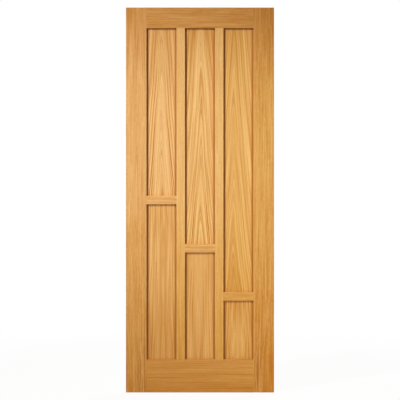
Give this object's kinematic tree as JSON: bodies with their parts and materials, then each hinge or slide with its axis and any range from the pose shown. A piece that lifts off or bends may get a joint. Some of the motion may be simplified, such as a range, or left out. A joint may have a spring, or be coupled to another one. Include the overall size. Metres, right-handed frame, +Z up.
{
  "type": "solid core internal door",
  "caption": "Oak-faced internal door leaf: stiles, rails, narrow mullions and stepped mid rails round flat recessed panels. Hung on hinges to close a doorway.",
  "frame": {"origin": "centre of the leaf's bottom edge, halfway through its thickness", "axes": "+Z up the leaf, +X to the right seen from the front, +Y through the leaf from front to back"},
  "size_m": [0.762, 0.035, 1.981],
  "materials": {
    "oak_veneer": "satin",
    "oak_lipping": "satin",
    "core_timber": "matte",
    "panel_board": "matte",
    "dowel_wood": "matte"
  },
  "bodies": {
    "root": {"bottom_rail_core": "core_timber", "bottom_rail_dowels": "dowel_wood", "bottom_rail_lippings": "oak_lipping", "bottom_rail_veneers": "oak_veneer", "centre_mid_rail_core": "core_timber", "centre_mid_rail_lippings": "oak_lipping", "centre_mid_rail_veneers": "oak_veneer", "left_mid_rail_core": "core_timber", "left_mid_rail_lippings": "oak_lipping", "left_mid_rail_veneers": "oak_veneer", "left_mullion_core": "core_timber", "left_mullion_lippings": "oak_lipping", "left_mullion_veneers": "oak_veneer", "left_stile_core": "core_timber", "left_stile_lippings": "oak_lipping", "left_stile_veneers": "oak_veneer", "lower_centre_panel_board": "panel_board", "lower_centre_panel_veneers": "oak_veneer", "lower_left_panel_board": "panel_board", "lower_left_panel_veneers": "oak_veneer", "lower_right_panel_board": "panel_board", "lower_right_panel_veneers": "oak_veneer", "mid_rail_dowels": "dowel_wood", "mullion_dowels": "dowel_wood", "right_mid_rail_core": "core_timber", "right_mid_rail_lippings": "oak_lipping", "right_mid_rail_veneers": "oak_veneer", "right_mullion_core": "core_timber", "right_mullion_lippings": "oak_lipping", "right_mullion_veneers": "oak_veneer", "right_stile_core": "core_timber", "right_stile_lippings": "oak_lipping", "right_stile_veneers": "oak_veneer", "top_rail_core": "core_timber", "top_rail_dowels": "dowel_wood", "top_rail_lippings": "oak_lipping", "top_rail_veneers": "oak_veneer", "upper_centre_panel_board": "panel_board", "upper_centre_panel_veneers": "oak_veneer", "upper_left_panel_board": "panel_board", "upper_left_panel_veneers": "oak_veneer", "upper_right_panel_board": "panel_board", "upper_right_panel_veneers": "oak_veneer"}
  },
  "joints": []
}
